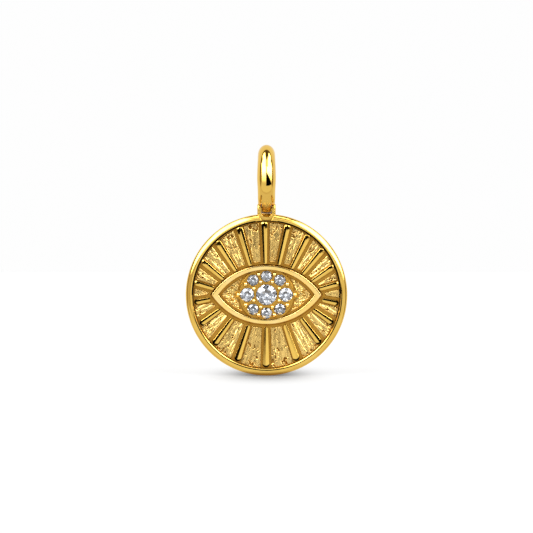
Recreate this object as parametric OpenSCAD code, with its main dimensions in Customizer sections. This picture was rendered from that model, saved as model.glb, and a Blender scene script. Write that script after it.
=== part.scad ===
// Round medallion charm with a stone-set eye, hanging from a hinged bail.
// The front faces -Y. The origin is where a chain sits, under the top of the bail.

/* [Disc] */
// Diameter of the medallion
disc_d = 12; // [11.8:0.1:12.4]
// Thickness of the plate under the rays
plate_t = 0.8; // [0.75:0.05:0.9]
// Width of the round rim
rim_w = 0.45; // [0.4:0.01:0.5]
// Height of the rim's crest above the plate
rim_h = 0.4; // [0.35:0.05:0.45]
// Radius of the soft edge at the back
back_round = 0.15; // [0.1:0.01:0.2]

/* [Rays] */
// Height of the textured panels between the rays
panel_h = 0.09; // [0.05:0.01:0.12]
// Width of the smooth channel beside each ray
channel_w = 0.16; // [0.12:0.01:0.2]
// Width of a ray at its outer end, at the top and bottom of the disc
ray_wide = 0.5; // [0.4:0.01:0.54]
// Width of a ray at its inner end
ray_narrow = 0.24; // [0.2:0.01:0.28]
// Gap between the rim and the upper rays' outer ends
upper_rim_gap = 0.18; // [0.16:0.01:0.24]
// Gap between the rim and the lower rays' outer ends
lower_rim_gap = 0.28; // [0.2:0.01:0.3]
// Height above or below the centre that the steep rays aim at
ray_aim = 1.75; // [1.6:0.05:1.9]

/* [Eye] */
// Length of the eye's frame
eye_w = 8.14; // [8:0.02:8.2]
// Height of the eye's frame
eye_h = 4.34; // [4.3:0.02:4.4]
// Length of the opening in the frame
opening_w = 7.15; // [7.1:0.01:7.2]
// Height of the opening in the frame
opening_h = 3.72; // [3.7:0.01:3.74]
// Height of the frame above the plate
frame_h = 0.42; // [0.4:0.01:0.46]
// Width of the frame's sloping outer skirt
skirt_w = 0.12; // [0.1:0.01:0.14]
// Slope of the frame's inner wall, measured across
inner_slope = 0.05; // [0.03:0.01:0.07]
// Diameter of the iris plate that holds the stones
iris_d = 4.1; // [4.06:0.01:4.14]
// Height of the iris plate above the disc's plate
iris_h = 0.16; // [0.14:0.01:0.2]

/* [Stones] */
// Diameter of the centre stone
centre_stone_d = 1.5; // [1.4:0.05:1.55]
// Diameter of the stone at each side of it
side_stone_d = 1.0; // [0.9:0.05:1]
// Diameter of the six small stones
small_stone_d = 0.8; // [0.7:0.05:0.8]
// Gap between a stone and its seat
seat_gap = 0.02; // [0.01:0.005:0.02]
// Diameter of the beads next to the centre stone
inner_bead_d = 0.29; // [0.26:0.01:0.3]
// Diameter of the beads round the iris
outer_bead_d = 0.33; // [0.3:0.01:0.34]

/* [Hinge] */
// Diameter of the hinge pin
pin_d = 0.3; // [0.26:0.01:0.32]
// Gap round the pin in the bail's bore
pin_gap = 0.03; // [0.02:0.005:0.04]
// Height of the pin above the top of the rim
pin_rise = 0.42; // [0.41:0.01:0.46]
// Distance of the pin from the disc's back, which makes the disc hang straight
hang_line = 0.48; // [0.46:0.01:0.5]
// Radius of the two lugs that hold the pin
lug_r = 0.38; // [0.36:0.01:0.39]
// Thickness of a lug
lug_t = 0.31; // [0.28:0.01:0.32]
// Width of the slot between the lugs
slot_w = 0.8; // [0.78:0.01:0.82]
// Gap between the bail's tongue and each lug
tongue_gap = 0.04; // [0.03:0.005:0.05]

/* [Bail] */
// Height of the bail's top above the top of the rim
bail_rise = 5.19; // [5:0.05:5.4]
// Depth of the bail from front to back
bail_depth = 3.5; // [3.4:0.05:3.6]
// Greatest width of the bail
bail_w = 1.4; // [1.34:0.01:1.42]
// Width of the bail at its crown
crown_w = 1.3; // [1.26:0.01:1.34]
// Width of the bail just above the lugs
shoulder_w = 1.29; // [1.24:0.01:1.32]
// Thickness of the bail at its crown
crown_t = 0.88; // [0.8:0.01:0.92]
// Thickness of the bail at its front and back
side_t = 0.78; // [0.7:0.01:0.84]
// Height of the bail's deepest place above the pin
waist_z = 1.85; // [1.8:0.01:1.95]

/* [Hidden] */
$fn = 64;

gold = "goldenrod";
stone_colour = "whitesmoke";

disc_r = disc_d / 2;
crest = plate_t + rim_h;
inside_rim = disc_r - rim_w;
panel_r = inside_rim - 0.14;
// How far a raised piece starts under the surface it stands on, and a cut runs past it
sink = 0.1;
through = 0.5;

// Each ray: its angle at the rim, and its width there as a share of ray_wide
ray_angle = 0;
ray_share = 1;
rays = [
    [8.6, 0.74], [22.6, 0.78], [38.3, 0.9], [54.6, 0.94], [72.8, 0.94],
    [91.8, 1], [112.3, 1], [133, 0.94], [152.8, 0.82], [170.6, 0.74],
    [185.9, 0.74], [203.6, 0.82], [222.9, 0.9], [245.6, 1], [269.6, 1.06],
    [295.2, 1], [318.2, 0.9], [337.2, 0.82], [353.3, 0.74],
];
upper_foot_gap = 0.2;
lower_foot_gap = 0.33;

// A lens of two arcs is given by its half length and half height
function lens_r(half_w, half_h) = (half_w * half_w + half_h * half_h) / (2 * half_h);
eye_r = lens_r(eye_w / 2, eye_h / 2);
eye_c = eye_r - eye_h / 2;
opening_r = lens_r(opening_w / 2, opening_h / 2);
opening_c = opening_r - opening_h / 2;

// The point on the centre line that a ray aims at, on the far side of the centre
function aim_y(angle) = -sign(sin(angle)) * ray_aim * (1 - pow(1 - abs(sin(angle)), 3));
function tip(angle, r) = [r * cos(angle), r * sin(angle)];
// Where a line from the tip towards its aim comes within a gap of the eye's frame
function foot(angle, r, gap) =
    let (p = tip(angle, r), q = [0, aim_y(angle)], d = (q - p) / norm(q - p),
        c = [0, -sign(sin(angle)) * eye_c], b = (p - c) * d,
        k = (p - c) * (p - c) - pow(eye_r + gap, 2))
    p + d * (-b - sqrt(b * b - k));

// Shares of a brilliant's diameter
pavilion = 0.43;
girdle = 0.03;
crown = 0.15;
table = 0.56;
culet = 0.02;
girdle_z = plate_t + iris_h - 0.03;
seat_tip_r = 0.05;

// Places of the stones on the disc, as x and y from its centre
side_x = 1.433;
small_y = 1.37;
diagonal = [1.0, 1.08];

// Beads in one quarter of the eye: x, y and whether it is an inner one
lobe_x = 2.11;
lobe_r = 0.3;
beads = [
    [0.94, 0.45, true], [0.43, 0.93, true],
    [1.545, 0.776, false], [0.586, 1.507, false], [lobe_x, 0, false],
];

pin_y = disc_r + pin_rise;
pin_length = slot_w + 2 * lug_t;
pin_seat_gap = 0.01;
lug_edge = 0.12;
// Half widths of the gap in the rim's bead, outside and inside
notch_outside = slot_w / 2 + lug_t;
notch_inside = 0.36;
// Between the lugs: a web just under the tongue, and a cove that opens it to the front
web_gap = 0.04;
cove_r = 0.5;
cove_y = disc_r - 0.26;
cove_z = crest - 0.1;

// The bail in the YZ plane, with the pin at 0, 0
bail_top = bail_rise - pin_rise;
outer_r = bail_depth / 2;
inner_r = outer_r - side_t;
boss_r = 0.33;
hole_r = 0.3;
hole_z = 0.92;
shoulder_z = lug_r + 0.04;
widest_z = 2.1;
tongue_w = slot_w - 2 * tongue_gap;
tongue_section_w = 0.92;
// Share of the section's thickness that is its outer dome, at the pin and at the crown
tongue_dome = 0.35;
crown_dome = 0.9;
outer_lean = asin((outer_r - boss_r) / waist_z);
inner_lean = asin((inner_r - hole_r) / (waist_z - hole_z));

// Heights in the whole charm, whose origin is under the bail's crown
pin_z = -(bail_top - crown_t);
disc_z = pin_z - pin_y;

boss_steps = 5;
leg_steps = 4;
top_steps = 14;
section_sides = 20;

// Half the loop's outline from the bottom up: round the small end, up the leg, round the waist
// and over the top, which is half an ellipse
function egg(small_r, small_z, big_r, top_z, lean) = concat(
    [for (i = [0:boss_steps - 1]) let (a = -90 + (90 - lean) * i / boss_steps)
        [small_r * cos(a), small_z + small_r * sin(a)]],
    [for (i = [0:leg_steps - 1]) let (k = i / leg_steps, r = small_r + (big_r - small_r) * k)
        [r * cos(lean), small_z + (waist_z - small_z) * k - r * sin(lean)]],
    [for (i = [0:top_steps]) let (a = -lean + (90 + lean) * i / top_steps)
        [big_r * cos(a), waist_z + (a < 0 ? big_r : top_z - waist_z) * sin(a)]]);

function both_sides(half) = concat(half,
    [for (i = [len(half) - 2:-1:1]) [-half[i].x, half[i].y]]);

// How round the section is on the outside, and how wide, at a height above the pin
function mix(a, b, k) = a + (b - a) * min(1, max(0, k));
function smooth(k) = let (u = min(1, max(0, k))) u * u * (3 - 2 * u);
function loop_w(z) = z < shoulder_z
    ? mix(tongue_section_w, shoulder_w, smooth((z + boss_r) / (shoulder_z + boss_r)))
    : z < widest_z ? mix(shoulder_w, bail_w, smooth((z - shoulder_z) / (widest_z - shoulder_z)))
    : mix(bail_w, crown_w, smooth((z - widest_z) / (bail_top - widest_z)));
function dome_share(z) = mix(tongue_dome, crown_dome, smooth((z + boss_r) / widest_z));

function section(outer, inner) =
    let (w = loop_w(outer.y), dome = dome_share(outer.y))
    [for (j = [0:section_sides - 1]) let (s = 360 * j / section_sides,
        v = 1 - dome + (s < 180 ? dome : 1 - dome) * sin(s), p = inner + (outer - inner) * v)
        [w / 2 * cos(s), p.x, p.y]];

// A closed ring of sections
module ring_of_sections(rows) {
    n = len(rows);
    m = len(rows[0]);
    points = [for (row = rows) each row];
    faces = [for (i = [0:n - 1]) for (j = [0:m - 1]) let (
        a = i * m + j, b = i * m + (j + 1) % m,
        c = ((i + 1) % n) * m + (j + 1) % m, d = ((i + 1) % n) * m + j)
        each [[a, b, c], [a, c, d]]];
    polyhedron(points, faces, convexity = 6);
}

// Lays out a piece of the disc: x across, y up, z out of its face
module on_disc() {
    translate([0, hang_line, disc_z]) rotate([90, 0, 0]) children();
}

module lens(r_bottom, r_top, c, h) {
    intersection() {
        translate([0, -c, 0]) cylinder(h = h, r1 = r_bottom, r2 = r_top);
        translate([0, c, 0]) cylinder(h = h, r1 = r_bottom, r2 = r_top);
    }
}

module disc_body() {
    rotate_extrude() {
        translate([0, back_round]) square([disc_r, plate_t - back_round]);
        square([disc_r - back_round, plate_t]);
        translate([disc_r - back_round, back_round]) circle(back_round);
        translate([disc_r - rim_w, back_round]) square([rim_w, crest - rim_w / 2 - back_round]);
        translate([disc_r - rim_w / 2, crest - rim_w / 2]) circle(rim_w / 2);
    }
}

// The raised panels are what the channels round the rim, the rays and the eye leave
module panels() {
    margin = skirt_w + channel_w;
    translate([0, 0, plate_t - sink]) difference() {
        cylinder(h = sink + panel_h, r = panel_r);
        translate([0, 0, -through])
            lens(eye_r + margin, eye_r + margin, eye_c, panel_h + sink + 2 * through);
        for (row = rays) channel(row[ray_angle], row[ray_share]);
    }
}

module channel(angle, share) {
    outer = tip(angle, disc_r);
    inner = foot(angle, disc_r, -sink);
    half_out = ray_wide * share / 2 + channel_w;
    half_in = ray_narrow / 2 + channel_w;
    along = outer - inner;
    translate([inner.x, inner.y, -through]) rotate([0, 0, atan2(along.y, along.x)])
        linear_extrude(panel_h + sink + 2 * through)
            polygon([[0, -half_in], [norm(along), -half_out], [norm(along), half_out], [0, half_in]]);
}

// A half-buried bar, round at both ends and wider at the rim
module ray(angle, share) {
    r_out = ray_wide * share / 2;
    r_in = ray_narrow / 2;
    upper = sin(angle) > 0;
    end_r = inside_rim - (upper ? upper_rim_gap : lower_rim_gap) - r_out;
    outer = tip(angle, end_r);
    inner = foot(angle, end_r, (upper ? upper_foot_gap : lower_foot_gap) + r_in);
    along = outer - inner;
    translate([inner.x, inner.y, plate_t]) rotate([0, 0, atan2(along.y, along.x) - 90])
        rotate([-90, 0, 0]) rotate_extrude() intersection() {
            union() {
                polygon([[0, 0], [r_in, 0], [r_out, norm(along)], [0, norm(along)]]);
                circle(r_in);
                translate([0, norm(along)]) circle(r_out);
            }
            translate([0, -r_in]) square([2 * r_out, norm(along) + r_in + r_out]);
        }
}

module eye_frame() {
    translate([0, 0, plate_t - sink]) difference() {
        lens(eye_r + skirt_w, eye_r, eye_c, frame_h + sink);
        translate([0, 0, sink]) lens(opening_r - inner_slope, opening_r, opening_c, frame_h);
        translate([0, 0, sink + frame_h]) lens(opening_r, opening_r, opening_c, through);
    }
}

module iris_plate() {
    translate([0, 0, plate_t - sink]) {
        intersection() {
            cylinder(h = iris_h + sink, r = iris_d / 2);
            lens(opening_r + sink, opening_r + sink, opening_c, iris_h + sink);
        }
        for (side = [-1, 1]) translate([side * lobe_x, 0, 0])
            cylinder(h = iris_h + sink, r = lobe_r);
    }
}

module bead_row() {
    for (b = beads) for (mx = [-1, 1]) for (my = b.y > 0 ? [-1, 1] : [1])
        translate([mx * b.x, my * b.y, plate_t + iris_h])
            sphere(d = b.z ? inner_bead_d : outer_bead_d);
}

// Room for a stone: a cone under its girdle and a short wall round it
module seat(place, d) {
    r = d / 2 + seat_gap;
    depth = d * pavilion + seat_gap;
    translate([place.x, place.y, girdle_z]) {
        translate([0, 0, -depth]) cylinder(h = depth, r1 = seat_tip_r, r2 = r);
        cylinder(h = through, r = r);
    }
}

module lug(side) {
    translate([side * slot_w / 2, pin_y, hang_line]) {
        rotate([0, side * 90, 0]) rotate_extrude() {
            square([lug_r, lug_t - lug_edge]);
            square([lug_r - lug_edge, lug_t]);
            translate([lug_r - lug_edge, lug_t - lug_edge]) circle(lug_edge);
        }
        translate([side > 0 ? 0 : -lug_t, -pin_rise - rim_w / 2, -lug_r])
            cube([lug_t, pin_rise + rim_w / 2, 2 * lug_r]);
    }
}

module web() {
    top = pin_y - boss_r - web_gap;
    bottom = disc_r - rim_w / 2;
    translate([-slot_w / 2 - lug_t / 2, bottom, hang_line - lug_r])
        cube([slot_w + lug_t, top - bottom, 2 * lug_r]);
}

// A hollow in front of the web, round at the bottom as the front shows it
module cove() {
    intersection() {
        translate([0, cove_y + slot_w / 2, 0]) cylinder(h = 2 * crest, r = slot_w / 2);
        translate([0, cove_y + cove_r, cove_z]) rotate([0, 90, 0])
            cylinder(h = slot_w, r = cove_r, center = true);
    }
}

module along_pin(r, length) {
    translate([-length / 2, pin_y, hang_line]) rotate([0, 90, 0]) cylinder(h = length, r = r);
}

module medallion() {
    color(gold) on_disc() difference() {
        union() {
            difference() {
                disc_body();
                // The rim's bead gives way to the lugs
                translate([0, 0, hang_line + lug_r]) linear_extrude(crest)
                    polygon([[-notch_inside, inside_rim], [notch_inside, inside_rim],
                        [notch_outside, disc_r], [notch_outside, disc_r + sink],
                        [-notch_outside, disc_r + sink], [-notch_outside, disc_r]]);
            }
            panels();
            for (row = rays) ray(row[ray_angle], row[ray_share]);
            eye_frame();
            iris_plate();
            bead_row();
            for (side = [-1, 1]) lug(side);
            web();
        }
        cove();
        along_pin(pin_d / 2 + pin_seat_gap, pin_length + 2 * through);
        seat([0, 0], centre_stone_d);
        for (side = [-1, 1]) {
            seat([side * side_x, 0], side_stone_d);
            seat([0, side * small_y], small_stone_d);
            for (up = [-1, 1]) seat([side * diagonal.x, up * diagonal.y], small_stone_d);
        }
    }
}

module bail() {
    outer = both_sides(egg(boss_r, 0, outer_r, bail_top, outer_lean));
    inner = both_sides(egg(hole_r, hole_z, inner_r, bail_top - crown_t, inner_lean));
    color(gold) translate([0, 0, pin_z]) difference() {
        ring_of_sections([for (i = [0:len(outer) - 1]) section(outer[i], inner[i])]);
        // Below the shoulders only the tongue is left, between the lugs
        for (side = [-1, 1])
            translate([side * (tongue_w / 2 + through), 0, shoulder_z - outer_r / 2])
                cube([2 * through, bail_depth, outer_r], center = true);
        rotate([0, 90, 0]) cylinder(h = bail_w, r = pin_d / 2 + pin_gap, center = true);
    }
}

module hinge_pin() {
    color(gold) on_disc() along_pin(pin_d / 2, pin_length);
}

// A round brilliant: table, crown, girdle and pavilion
module stone(place, d) {
    color(stone_colour) on_disc() translate([place.x, place.y, girdle_z]) rotate_extrude()
        polygon(d * [[0, -pavilion], [culet, -pavilion], [0.5, 0], [0.5, girdle],
            [table / 2, girdle + crown], [0, girdle + crown]]);
}

medallion();
bail();
hinge_pin();
stone([0, 0], centre_stone_d);  // centre_stone
stone([-side_x, 0], side_stone_d);  // side_stone_left
stone([side_x, 0], side_stone_d);  // side_stone_right
stone([0, small_y], small_stone_d);  // small_stone_top
stone([-diagonal.x, diagonal.y], small_stone_d);  // small_stone_top_left
stone([diagonal.x, diagonal.y], small_stone_d);  // small_stone_top_right
stone([0, -small_y], small_stone_d);  // small_stone_bottom
stone([-diagonal.x, -diagonal.y], small_stone_d);  // small_stone_bottom_left
stone([diagonal.x, -diagonal.y], small_stone_d);  // small_stone_bottom_right
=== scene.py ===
import math

import bmesh
import bpy
from mathutils import Matrix, Vector, geometry


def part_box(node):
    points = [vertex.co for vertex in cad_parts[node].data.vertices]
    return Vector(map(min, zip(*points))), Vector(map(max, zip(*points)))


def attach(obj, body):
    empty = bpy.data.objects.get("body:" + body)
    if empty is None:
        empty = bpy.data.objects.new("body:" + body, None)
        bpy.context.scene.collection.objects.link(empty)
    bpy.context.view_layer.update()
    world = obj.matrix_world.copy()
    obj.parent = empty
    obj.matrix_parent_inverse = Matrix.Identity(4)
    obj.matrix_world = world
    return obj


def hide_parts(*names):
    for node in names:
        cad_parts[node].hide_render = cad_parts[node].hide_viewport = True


# Round gold eye charm with a hinged bail.
# Shapes are drawn in millimetres: on the disc, x runs across, y up and z out of its face.

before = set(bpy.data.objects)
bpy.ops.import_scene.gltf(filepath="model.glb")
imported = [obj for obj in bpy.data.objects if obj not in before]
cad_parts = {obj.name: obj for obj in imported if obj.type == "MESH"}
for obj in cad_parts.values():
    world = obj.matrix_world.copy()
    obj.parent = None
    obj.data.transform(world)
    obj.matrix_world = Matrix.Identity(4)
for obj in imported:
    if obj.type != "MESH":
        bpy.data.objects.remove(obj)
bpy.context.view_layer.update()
mm = 0.001

# The charm's own measures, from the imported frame
discLow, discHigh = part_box("medallion")
pinLow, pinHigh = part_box("hinge_pin")
bailLow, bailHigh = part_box("bail")
discRadius = (discHigh.x - discLow.x) / 2 / mm
discMiddle = discLow.z / mm + discRadius
discBack = discHigh.y / mm
pinLevel = (pinLow.z + pinHigh.z) / 2 / mm
pinAbove = pinLevel - discMiddle  # the pin's height over the disc's centre
bailTop = bailHigh.z / mm - pinLevel
bailHalfDepth = (bailHigh.y - bailLow.y) / 2 / mm

onDisc = (Matrix.Scale(mm, 4) @ Matrix.Translation((0, discBack, discMiddle))
          @ Matrix.Rotation(math.pi / 2, 4, "X"))
onBail = Matrix.Scale(mm, 4) @ Matrix.Translation((0, 0, pinLevel))


# Node helpers

def addNode(tree, kind, settings=None, inputs=None):
    node = tree.nodes.new(kind)
    for name, value in (settings or {}).items():
        setattr(node, name, value)
    for name, value in (inputs or {}).items():
        if isinstance(name, int):
            socket = node.inputs[name]
        else:
            socket = next(s for s in node.inputs if s.name == name and s.enabled)
        if isinstance(value, bpy.types.NodeSocket):
            tree.links.new(value, socket)
        else:
            socket.default_value = value
    return node


def mathOf(tree, operation, *values):
    return addNode(tree, "ShaderNodeMath", {"operation": operation}, dict(enumerate(values))).outputs[0]


def plus(tree, a, b):
    return mathOf(tree, "ADD", a, b)


def minus(tree, a, b):
    return mathOf(tree, "SUBTRACT", a, b)


def times(tree, a, b):
    return mathOf(tree, "MULTIPLY", a, b)


def timesPlus(tree, a, b, c):
    return mathOf(tree, "MULTIPLY_ADD", a, b, c)


def rangeOf(tree, value, fromLow, fromHigh, toLow=0.0, toHigh=1.0, kind="LINEAR"):
    return addNode(tree, "ShaderNodeMapRange", {"interpolation_type": kind}, {
        "Value": value, "From Min": fromLow, "From Max": fromHigh,
        "To Min": toLow, "To Max": toHigh}).outputs["Result"]


def splitOf(tree, vector):
    return addNode(tree, "ShaderNodeSeparateXYZ", {}, {"Vector": vector}).outputs


def vectorOf(tree, **parts):
    return addNode(tree, "ShaderNodeCombineXYZ", {}, parts).outputs[0]


# Materials

def startMaterial(name, **principled):
    material = bpy.data.materials.new(name)
    material.use_nodes = True
    tree = material.node_tree
    shader = tree.nodes["Principled BSDF"]
    for label, value in principled.items():
        shader.inputs[label.replace("_", " ")].default_value = value
    place = addNode(tree, "ShaderNodeTexCoord").outputs["Object"]
    return material, tree, shader, place


def connect(tree, shader, **sources):
    for label, source in sources.items():
        tree.links.new(source, shader.inputs[label.replace("_", " ")])


def noiseOf(tree, place, perMetre, detail=2.0, distortion=0.0):
    return addNode(tree, "ShaderNodeTexNoise", {}, {
        "Vector": place, "Scale": perMetre, "Detail": detail, "Distortion": distortion}).outputs["Fac"]


def mixColour(tree, share, low, high):
    # Either colour is fixed or comes from another node
    mix = addNode(tree, "ShaderNodeMix", {"data_type": "RGBA"}, {"Factor": share})
    for number, colour in ((6, low), (7, high)):
        if isinstance(colour, bpy.types.NodeSocket):
            tree.links.new(colour, mix.inputs[number])
        else:
            mix.inputs[number].default_value = (*colour, 1)
    return mix.outputs[2]


def markOf(tree, name):
    return addNode(tree, "ShaderNodeAttribute", {"attribute_name": name}).outputs["Fac"]


def bumpOf(tree, distance, height, **under):
    return addNode(tree, "ShaderNodeBump", {}, {
        "Strength": 1.0, "Distance": distance, "Height": height, **under}).outputs["Normal"]


# Pattern sizes are per metre, here and in the other finishes
gold = {
    "deep": (0.8, 0.5, 0.092),
    "light": (0.88, 0.59, 0.138),
    "bright": (0.95, 0.73, 0.33),  # a lighter copy for the eye's band and beads, painted brighter as lit
    # painted shade: the tone of the low ground inside the rim
    "recess": (0.56, 0.31, 0.05),
    "recessRough": 0.12,
    # painted shade in the corners, by how much open sky each point sees
    "cornerShade": (0.3, 0.13, 0.012),
    "cornerShadeReach": 0.00045,
    "cornerShadeFrom": 0.35,  # share of open sky at which a corner is fully dark
    "cornerShadeTo": 0.92,
    # painted black, standing in for dark reflections and shade
    "paintedShade": (0.012, 0.006, 0.002),
    "paintedShadeFrom": 0.42,
    "paintedShadeTo": 0.6,
    "patchSize": 900,
    "patchSpan": (0.2, 0.8),  # the spans are the part of a noise's swing that is spread over the range
    "wearSize": 2600,
    "wearSpan": (0.3, 0.7),
    "roughLow": 0.05,
    "roughHigh": 0.11,
    "wornRough": 0.24,  # added where the hinge rubs
    "waveSize": 1300,
    "waveHeight": 0.8e-6,
    "scratchHeight": 0.15e-6,
    "scratchTurn": (0.3, 0.9, 0.5),
    "scratchSize": (30000, 1500, 1500),
}


def paintedCornerShade(tree, colour):
    # Painted shade: corners that see little open sky are darkened
    sky = addNode(tree, "ShaderNodeAmbientOcclusion", {"samples": 8}, {"Distance": gold["cornerShadeReach"]})
    share = rangeOf(tree, sky.outputs["AO"], gold["cornerShadeFrom"], gold["cornerShadeTo"])
    return mixColour(tree, share, gold["cornerShade"], colour)


def polishedGold(name, deep=gold["deep"], light=gold["light"], shadedGround=False, blackShaded=False, worn=False):
    material, tree, shader, place = startMaterial(name, Metallic=1.0)
    patches = noiseOf(tree, place, gold["patchSize"], 3)
    colour = mixColour(tree, rangeOf(tree, patches, *gold["patchSpan"]), deep, light)
    wear = noiseOf(tree, place, gold["wearSize"], 5)
    rough = rangeOf(tree, wear, *gold["wearSpan"], gold["roughLow"], gold["roughHigh"])
    if shadedGround:
        # The low ground is painted a deeper, darker tone as shade, and is also made duller
        low = markOf(tree, "recess")
        colour = mixColour(tree, low, colour, gold["recess"])
        rough = timesPlus(tree, low, gold["recessRough"], rough)
    if worn:
        rough = timesPlus(tree, markOf(tree, "wear"), gold["wornRough"], rough)
    colour = paintedCornerShade(tree, colour)
    if blackShaded:
        # Painted black where marked, standing in for dark reflections and shade
        paintedShade = rangeOf(tree, markOf(tree, "paintedShade"), gold["paintedShadeFrom"], gold["paintedShadeTo"])
        colour = mixColour(tree, paintedShade, colour, gold["paintedShade"])
    # The hand polish leaves a soft wave, and hairlines that run all ways
    wave = bumpOf(tree, gold["waveHeight"], noiseOf(tree, place, gold["waveSize"], 1))
    turned = addNode(tree, "ShaderNodeMapping", {}, {
        "Vector": place, "Rotation": gold["scratchTurn"], "Scale": gold["scratchSize"]}).outputs["Vector"]
    hairlines = bumpOf(tree, gold["scratchHeight"], noiseOf(tree, turned, 1, 2), Normal=wave)
    connect(tree, shader, Base_Color=colour, Roughness=rough, Normal=hairlines)
    return material


barkFinish = {
    # the pits are painted this dark as shade
    "pit": (0.12, 0.048, 0.006),
    "high": (0.93, 0.64, 0.2),
    "toneSpan": (0.25, 0.85),
    "roughHigh": 0.36,
    "roughLow": 0.2,
    "roughSpan": (0.3, 0.9),
    "speckle": 0.3,
    "speckleSize": 9000,
    "grainSize": 12000,
    "grainHeight": 1.4e-6,
}


def barkGold():
    material, tree, shader, place = startMaterial("bark_gold", Metallic=1.0)
    speckle = noiseOf(tree, place, barkFinish["speckleSize"], 3)
    height = timesPlus(tree, speckle, barkFinish["speckle"], markOf(tree, "relief"))
    # Painted shade: the lower the relief, the darker the tone
    share = rangeOf(tree, height, *barkFinish["toneSpan"])
    tone = mixColour(tree, share, barkFinish["pit"], barkFinish["high"])
    rough = rangeOf(tree, height, *barkFinish["roughSpan"], barkFinish["roughHigh"], barkFinish["roughLow"])
    grain = bumpOf(tree, barkFinish["grainHeight"], noiseOf(tree, place, barkFinish["grainSize"], 4, 0.4))
    connect(tree, shader, Base_Color=paintedCornerShade(tree, tone), Roughness=rough, Normal=grain)
    return material


stoneFinish = {
    "tint": (0.42, 0.46, 0.52),
    "clear": (0.84, 0.88, 0.93),
    "dark": (0.1, 0.11, 0.13),  # every other facet round the edge, painted dark as a dark reflection
    "small": 0.5,  # the small stones are a copy painted that much darker, as shade
    "smallBelow": 0.9,  # a stone of a smaller diameter counts as small
    "ior": 2.16,
    "fleckSize": 5600,
    "fleckSpan": (0.4, 0.56),
    "roughSize": 8000,
    "roughSpan": (0.4, 0.8),
    "roughMost": 0.02,
}


def clearStone(name, shade=1.0):
    material, tree, shader, place = startMaterial(name, Transmission_Weight=1.0, IOR=stoneFinish["ior"])
    tint, clear, dark = ([c * shade for c in stoneFinish[tone]] for tone in ("tint", "clear", "dark"))
    flecks = rangeOf(tree, noiseOf(tree, place, stoneFinish["fleckSize"], 1), *stoneFinish["fleckSpan"])
    body = mixColour(tree, flecks, tint, clear)
    rough = rangeOf(tree, noiseOf(tree, place, stoneFinish["roughSize"], 2),
                    *stoneFinish["roughSpan"], 0.0, stoneFinish["roughMost"])
    # Every other facet round the edge is painted dark, as a dark reflection
    connect(tree, shader, Base_Color=mixColour(tree, markOf(tree, "dark"), body, dark), Roughness=rough)
    return material


pinGold = polishedGold("polished_gold")
discGold = polishedGold("disc_gold", shadedGround=True, blackShaded=True)
barGold = polishedGold("bar_gold", blackShaded=True)
# A lighter copy of the gold, painted brighter as lit, for the eye's band and the beads
frameGold = polishedGold("lit_frame_gold", gold["light"], gold["bright"])
hingeGold = polishedGold("hinge_gold", worn=True)
bark = barkGold()
stone = clearStone("clear_stone")
# The small stones take a copy painted darker, as shade
smallStone = clearStone("small_stone", stoneFinish["small"])
print("materials ready")


# Mesh helpers

def ringOf(radius, height, count):
    turn = 2 * math.pi / count
    return [(radius * math.cos(i * turn), radius * math.sin(i * turn), height) for i in range(count)]


def arcPoints(x, y, radius, fromDegrees, toDegrees, steps):
    angles = [math.radians(fromDegrees + (toDegrees - fromDegrees) * i / steps) for i in range(steps + 1)]
    return [(x + radius * math.cos(a), y + radius * math.sin(a)) for a in angles]


def smoothStep(k):
    k = max(0, min(1, k))
    return k * k * (3 - 2 * k)


def edited(mesh, work=None):
    edit = bmesh.new()
    edit.from_mesh(mesh)
    if work:
        work(edit)
    bmesh.ops.recalc_face_normals(edit, faces=edit.faces)
    edit.to_mesh(mesh)
    edit.free()
    return mesh


class Shell:
    # Points and faces of one mesh while it is drawn

    def __init__(self):
        self.points = []
        self.faces = []

    def add(self, points, faces):
        start = len(self.points)
        self.points += points
        self.faces += [tuple(start + i for i in face) for face in faces]

    def skin(self, rings, closed=False):
        count = len(rings[0])
        faces = []
        for i in range(len(rings) if closed else len(rings) - 1):
            a, b = i * count, (i + 1) % len(rings) * count
            for j in range(count):
                k = (j + 1) % count
                faces.append((a + j, a + k, b + k, b + j))
        self.add([p for ring in rings for p in ring], faces)

    def mesh(self, name, weld=1e-4):
        def work(edit):
            bmesh.ops.remove_doubles(edit, verts=edit.verts, dist=weld)
            bmesh.ops.dissolve_degenerate(edit, edges=edit.edges, dist=weld / 10)

        mesh = bpy.data.meshes.new(name)
        mesh.from_pydata(self.points, [], self.faces)
        return edited(mesh, work)


def latheMesh(name, profile, around):
    shell = Shell()
    shell.skin([ringOf(r, h, around) for r, h in profile])
    return shell.mesh(name)


def blockMesh(name, rings):
    # Rings in a row, with both ends filled
    shell = Shell()
    shell.skin(rings)
    for ring in (rings[0], rings[-1]):
        shell.add(ring, [tuple(range(len(ring)))])
    return shell.mesh(name)


def prismMesh(name, outline, low, high):
    return blockMesh(name, [[(x, y, h) for x, y in outline] for h in (low, high)])


def rodMesh(name, radius, start, end, around=96):
    # A cylinder between two points
    axis = Vector(end) - Vector(start)
    mesh = latheMesh(name, [(0, 0), (radius, 0), (radius, axis.length), (0, axis.length)], around)
    mesh.transform(Matrix.Translation(start) @ axis.to_track_quat("Z", "Y").to_matrix().to_4x4())
    return mesh


def looseObject(name, mesh):
    thing = bpy.data.objects.new(name, mesh)
    bpy.context.scene.collection.objects.link(thing)
    return thing


def bakedMesh(thing):
    depsgraph = bpy.context.evaluated_depsgraph_get()
    depsgraph.update()
    return bpy.data.meshes.new_from_object(thing.evaluated_get(depsgraph))


def dropObject(thing):
    mesh = thing.data
    bpy.data.objects.remove(thing)
    bpy.data.meshes.remove(mesh)


def combined(mesh, cutter, operation):
    thing, other = looseObject("work", mesh), looseObject("tool", cutter)
    step = thing.modifiers.new("cut", "BOOLEAN")
    step.operation = operation
    step.object = other
    step.solver = "EXACT"
    result = bakedMesh(thing)
    dropObject(thing)
    dropObject(other)
    return result


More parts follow.
